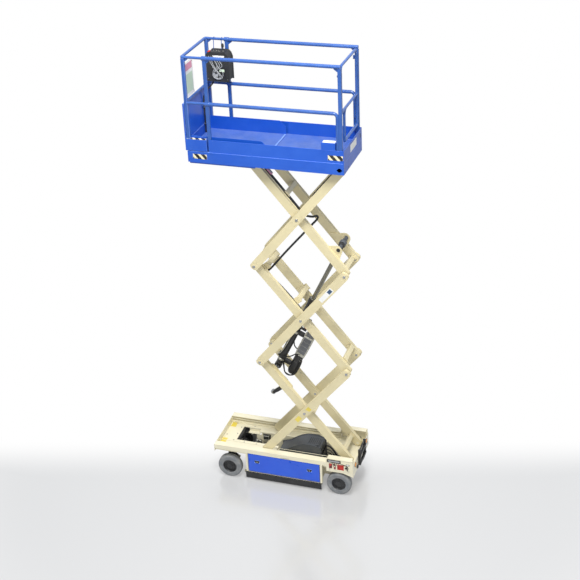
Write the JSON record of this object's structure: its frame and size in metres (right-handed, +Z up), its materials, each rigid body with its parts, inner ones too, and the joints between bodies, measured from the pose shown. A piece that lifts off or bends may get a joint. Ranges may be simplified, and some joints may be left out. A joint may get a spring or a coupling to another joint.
{
  "type": "electric scissor lift",
  "caption": "Compact self-propelled scissor lift with a folding arm stack, a railed platform with a slide-out deck, and steered front wheels.",
  "frame": {"origin": "on the floor under the middle of the machine, at the bottom centre of its box", "axes": "+X to the front, +Y to the left side, +Z up"},
  "size_m": [1.9503, 0.76, 5.6949],
  "materials": {
    "cream_paint": "satin",
    "blue_paint": "satin",
    "black_plastic": "matte",
    "grey_tyre": "matte",
    "black_wheel": "satin",
    "bright_steel": "satin",
    "grey_plastic": "matte",
    "battery_case": "matte",
    "black_steel": "satin"
  },
  "bodies": {
    "root": {"chassis_frame": "cream_paint", "ground_control_cabinet": "cream_paint", "charger_cabinet": "cream_paint", "boarding_ladder": "black_steel", "battery_pack_left": "battery_case", "battery_pack_right": "battery_case", "controller_cover": "grey_plastic", "valve_block": "bright_steel", "front_axle": "black_steel", "rear_axle": "black_steel"},
    "left_steering": {"steering_knuckle_left": "black_steel"},
    "right_steering": {"steering_knuckle_right": "black_steel"},
    "front_left_roadwheel": {"front_left_tyre": "grey_tyre", "front_left_wheel": "black_wheel"},
    "front_right_roadwheel": {"front_right_tyre": "grey_tyre", "front_right_wheel": "black_wheel"},
    "rear_left_roadwheel": {"rear_left_tyre": "grey_tyre", "rear_left_wheel": "black_wheel"},
    "rear_right_roadwheel": {"rear_right_tyre": "grey_tyre", "rear_right_wheel": "black_wheel"},
    "left_side_door": {"left_door": "blue_paint"},
    "right_side_door": {"right_door": "blue_paint"},
    "left_guard": {"left_pothole_guard": "black_steel"},
    "right_guard": {"right_pothole_guard": "black_steel"},
    "stage1_inner": {"stage1_inner_frame": "cream_paint", "guard_cam_roller": "bright_steel"},
    "stage1_outer": {"stage1_outer_arm_left": "cream_paint", "stage1_outer_arm_right": "cream_paint"},
    "stage2_inner": {"stage2_inner_frame": "cream_paint"},
    "stage2_outer": {"stage2_outer_arm_left": "cream_paint", "stage2_outer_arm_right": "cream_paint"},
    "stage3_inner": {"stage3_inner_frame": "cream_paint"},
    "stage3_outer": {"stage3_outer_arm_left": "cream_paint", "stage3_outer_arm_right": "cream_paint"},
    "cylinder_barrel": {"lift_cylinder_barrel": "black_steel", "pump_motor": "black_steel", "oil_tank": "grey_plastic"},
    "cylinder_rod": {"lift_cylinder_rod": "bright_steel"},
    "platform": {"platform_deck": "blue_paint", "left_guardrail": "blue_paint", "right_guardrail": "blue_paint"},
    "gate": {"entry_gate": "blue_paint"},
    "extension": {"extension_deck": "blue_paint", "platform_control_box": "black_plastic"}
  },
  "joints": [
    {"name": "lift", "type": "hinge", "parent": "root", "child": "stage1_inner", "pos_m": [-0.846, 0, 0.44], "axis": [0, -1, 0], "range_deg": [-46.26, 1]},
    {"name": "stage1_cross", "type": "hinge", "parent": "stage1_inner", "child": "stage1_outer", "pos_m": [-0.2898, 0, 1.10899], "axis": [0, -1, 0], "range_deg": [-2.5, 93.02]},
    {"name": "stage2_front", "type": "hinge", "parent": "stage1_inner", "child": "stage2_outer", "pos_m": [0.26639, 0, 1.77798], "axis": [0, -1, 0], "range_deg": [-2.5, 93.02]},
    {"name": "stage2_cross", "type": "hinge", "parent": "stage2_outer", "child": "stage2_inner", "pos_m": [-0.2898, 0, 2.44697], "axis": [0, -1, 0], "range_deg": [-93.02, 2.5]},
    {"name": "stage3_rear", "type": "hinge", "parent": "stage2_outer", "child": "stage3_inner", "pos_m": [-0.846, 0, 3.11596], "axis": [0, -1, 0], "range_deg": [-93.02, 2.5]},
    {"name": "stage3_cross", "type": "hinge", "parent": "stage3_inner", "child": "stage3_outer", "pos_m": [-0.2898, 0, 3.78495], "axis": [0, -1, 0], "range_deg": [-2.5, 93.02]},
    {"name": "platform_pivot", "type": "hinge", "parent": "stage3_outer", "child": "platform", "pos_m": [-0.846, 0, 4.45394], "axis": [0, -1, 0], "range_deg": [-46.76, 1.5]},
    {"name": "cylinder_pivot", "type": "hinge", "parent": "stage1_inner", "child": "cylinder_barrel", "pos_m": [0.12383, 0, 1.6065], "axis": [0, -1, 0], "range_deg": [-2.62, 98.57]},
    {"name": "cylinder_stroke", "type": "slide", "parent": "cylinder_barrel", "child": "cylinder_rod", "axis": [-0.4383, 0, 0.8988], "range_m": [-0.7349, 0.0208]},
    {"name": "steer_left", "type": "hinge", "parent": "root", "child": "left_steering", "pos_m": [0.74, 0.24, 0.36], "axis": [0, 0, 1], "range_deg": [-60, 60]},
    {"name": "steer_right", "type": "hinge", "parent": "root", "child": "right_steering", "pos_m": [0.74, -0.24, 0.36], "axis": [0, 0, 1], "range_deg": [-60, 60]},
    {"name": "front_left_spin", "type": "hinge", "parent": "left_steering", "child": "front_left_roadwheel", "pos_m": [0.74, 0.33, 0.1615], "axis": [0, 1, 0], "continuous": true},
    {"name": "front_right_spin", "type": "hinge", "parent": "right_steering", "child": "front_right_roadwheel", "pos_m": [0.74, -0.33, 0.1615], "axis": [0, 1, 0], "continuous": true},
    {"name": "rear_left_spin", "type": "hinge", "parent": "root", "child": "rear_left_roadwheel", "pos_m": [-0.74, 0.33, 0.1615], "axis": [0, 1, 0], "continuous": true},
    {"name": "rear_right_spin", "type": "hinge", "parent": "root", "child": "rear_right_roadwheel", "pos_m": [-0.74, -0.33, 0.1615], "axis": [0, 1, 0], "continuous": true},
    {"name": "left_door_hinge", "type": "hinge", "parent": "root", "child": "left_side_door", "pos_m": [0.462, 0.372, 0.28], "axis": [0, 0, -1], "range_deg": [0, 90]},
    {"name": "right_door_hinge", "type": "hinge", "parent": "root", "child": "right_side_door", "pos_m": [0.462, -0.372, 0.28], "axis": [0, 0, 1], "range_deg": [0, 90]},
    {"name": "left_guard_fold", "type": "hinge", "parent": "root", "child": "left_guard", "pos_m": [0, 0.362, 0.12], "axis": [-1, 0, 0], "range_deg": [0, 85]},
    {"name": "right_guard_fold", "type": "hinge", "parent": "root", "child": "right_guard", "pos_m": [0, -0.362, 0.12], "axis": [1, 0, 0], "range_deg": [0, 85]},
    {"name": "extension_slide", "type": "slide", "parent": "platform", "child": "extension", "axis": [1, 0, 0], "range_m": [0, 0.9]},
    {"name": "gate_swing", "type": "hinge", "parent": "platform", "child": "gate", "pos_m": [-0.832, -0.326, 5.1], "axis": [0, 0, -1], "range_deg": [0, 90]}
  ],
  "couplings": [
    {"joint": "stage1_cross", "follows": "lift", "ratio": -2},
    {"joint": "stage2_front", "follows": "lift", "ratio": -2},
    {"joint": "stage2_cross", "follows": "lift", "ratio": 2},
    {"joint": "stage3_rear", "follows": "lift", "ratio": 2},
    {"joint": "stage3_cross", "follows": "lift", "ratio": -2},
    {"joint": "platform_pivot", "follows": "lift", "ratio": 1},
    {"joint": "cylinder_pivot", "follows": "lift", "ratio": -2.1199},
    {"joint": "cylinder_stroke", "follows": "lift", "m_per_rad": 0.90406},
    {"joint": "steer_right", "follows": "steer_left", "ratio": 1}
  ]
}
